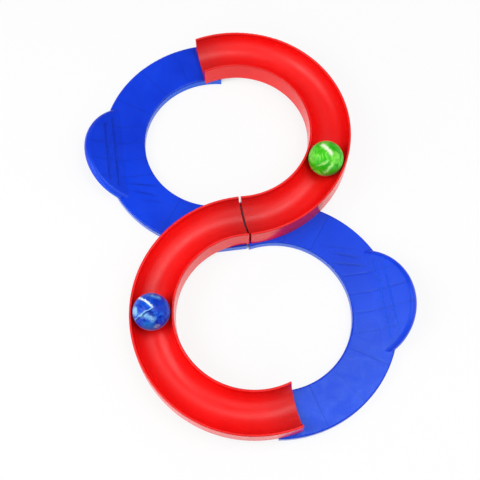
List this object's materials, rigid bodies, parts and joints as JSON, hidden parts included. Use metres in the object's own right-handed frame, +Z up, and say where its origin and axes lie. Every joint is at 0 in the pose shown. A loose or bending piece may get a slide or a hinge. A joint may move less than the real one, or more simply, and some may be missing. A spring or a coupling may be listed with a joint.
{
  "type": "ball track toy",
  "caption": "Figure-of-eight hand-held ball track: open half-ring channels on half-ring base plates with raised handles, and loose bouncy balls that roll along the channels.",
  "frame": {"origin": "on the table, under the point where the channels cross", "axes": "+Y along the long axis of the eight, +X to the right, +Z up"},
  "size_m": [0.2634, 0.3914, 0.044],
  "materials": {
    "red_plastic": "satin moulded plastic with a fine grain",
    "blue_plastic": "satin moulded plastic with a fine grain",
    "green_rubber": "polished marbled rubber",
    "blue_rubber": "polished marbled rubber",
    "zinc_steel": "zinc-plated steel"
  },
  "bodies": {
    "track": {"upper_right_channel": "red_plastic", "lower_left_channel": "red_plastic", "upper_left_base": "blue_plastic", "lower_right_base": "blue_plastic", "top_inner_screw": "zinc_steel", "top_outer_screw": "zinc_steel", "bottom_inner_screw": "zinc_steel", "bottom_outer_screw": "zinc_steel", "right_upper_screw": "zinc_steel", "right_lower_screw": "zinc_steel", "left_upper_screw": "zinc_steel", "left_lower_screw": "zinc_steel"},
    "green_ball": {"green_ball": "green_rubber"},
    "blue_ball": {"blue_ball": "blue_rubber"}
  },
  "joints": [
    {"name": "green_ball_roll", "type": "hinge", "parent": "track", "child": "green_ball", "pos_m": [0.00962, 0.08647, 0], "axis": [0, 0, 1], "range_deg": [-54.1, 133.3]},
    {"name": "blue_ball_roll", "type": "hinge", "parent": "track", "child": "blue_ball", "pos_m": [-0.00962, -0.08647, 0], "axis": [0, 0, 1], "range_deg": [-75.6, 111.8]}
  ]
}
